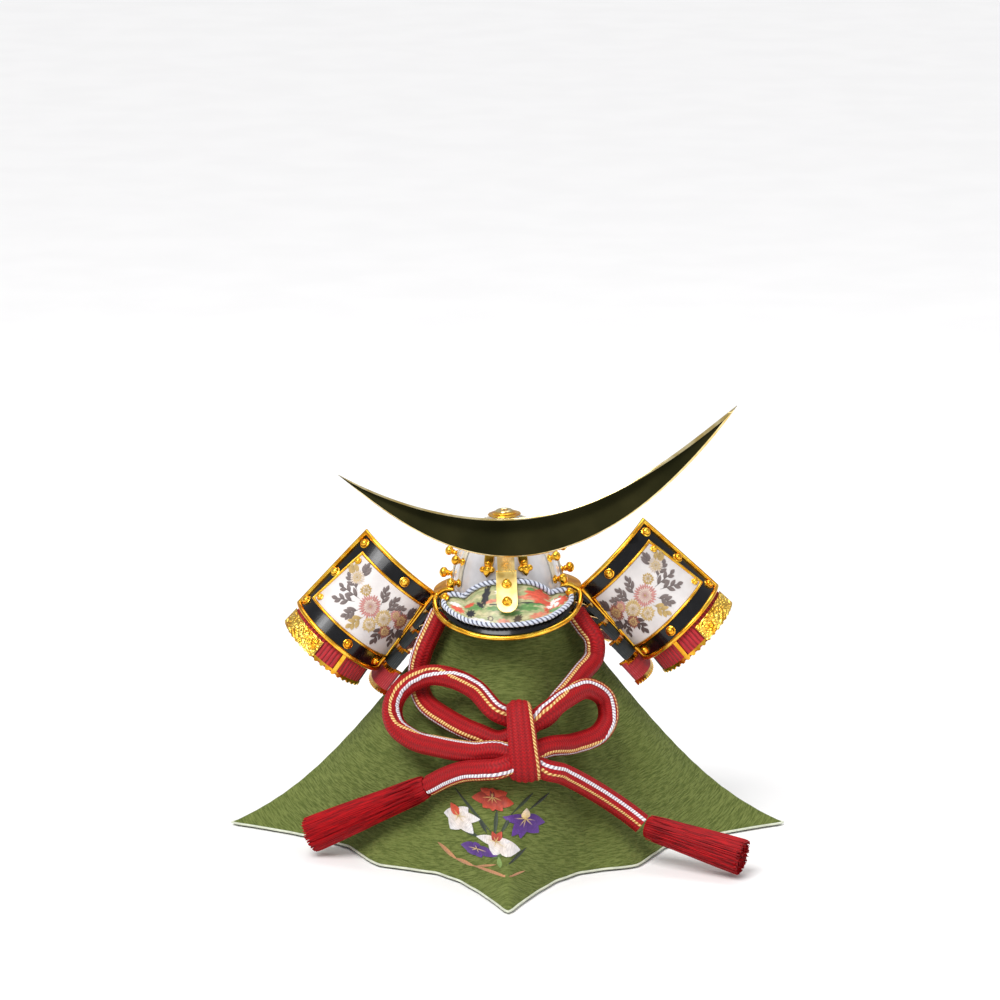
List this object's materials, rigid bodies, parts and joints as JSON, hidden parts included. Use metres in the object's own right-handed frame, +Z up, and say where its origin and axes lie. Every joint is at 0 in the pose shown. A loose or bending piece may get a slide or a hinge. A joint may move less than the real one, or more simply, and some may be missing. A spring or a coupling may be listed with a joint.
{
  "type": "kabuto samurai helmet on a cloth-covered stand",
  "caption": "Display kabuto with a lopsided crescent crest, scrolled turn-backs, laced neck guard and tied silk cord, on a stand draped with cloth.",
  "frame": {"origin": "centre of the stand's base, on the surface it stands on", "axes": "+X right as seen from the front, +Y to the back so that the front faces -Y, +Z up"},
  "size_m": [0.292, 0.292, 0.2352],
  "materials": {
    "wood": "plain sanded wood, hidden under the cloth",
    "cloth": "matt olive-green crepe",
    "white_lacquer": "gloss white lacquer",
    "gold": "bright gold plate",
    "crest_brass": "polished pale brass",
    "silver": "bright silver-gold plate",
    "black_lacquer": "gloss black lacquer",
    "printed_leather": "leather printed in pale green, coral and grey",
    "braid": "white, blue and navy plaited braid",
    "white_leather": "white leather with flower sprays",
    "lacing": "silk lacing in crimson and near-black green on gilt lames",
    "red_cord": "crimson silk braid with gold and white stripes"
  },
  "bodies": {
    "root": {"stand_base": "wood", "stand_post": "wood", "stand_head": "wood", "drape_cloth": "cloth", "bowl": "white_lacquer", "crown_fitting": "gold", "rim_flange": "gold", "visor_rim": "gold", "spear_left": "gold", "spear_right": "gold", "wing_rim_left": "gold", "wing_rim_right": "gold", "wing_inner_rim_left": "gold", "wing_inner_rim_right": "gold", "gilt_plate_left": "gold", "gilt_plate_right": "gold", "rib_1": "gold", "rib_2": "gold", "rib_3": "gold", "rib_4": "gold", "rib_5": "gold", "rib_6": "gold", "rib_7": "gold", "crescent": "crest_brass", "crest_holder": "silver", "visor_plate": "black_lacquer", "wing_plate_left": "black_lacquer", "wing_plate_right": "black_lacquer", "visor_leather": "printed_leather", "visor_braid": "braid", "wing_panel_left": "white_leather", "wing_panel_right": "white_leather", "neck_lame_1": "lacing", "neck_lame_2": "lacing", "neck_lame_3": "lacing", "neck_lame_4": "lacing", "neck_lame_5": "lacing", "small_turnback_left": "lacing", "small_turnback_right": "lacing", "cord_neck_left": "red_cord", "cord_loop_left": "red_cord", "cord_tail_left": "red_cord", "cord_neck_right": "red_cord", "cord_loop_right": "red_cord", "cord_tail_right": "red_cord", "bow_knot": "red_cord", "tassel_left": "red_cord", "tassel_right": "red_cord"}
  },
  "joints": []
}
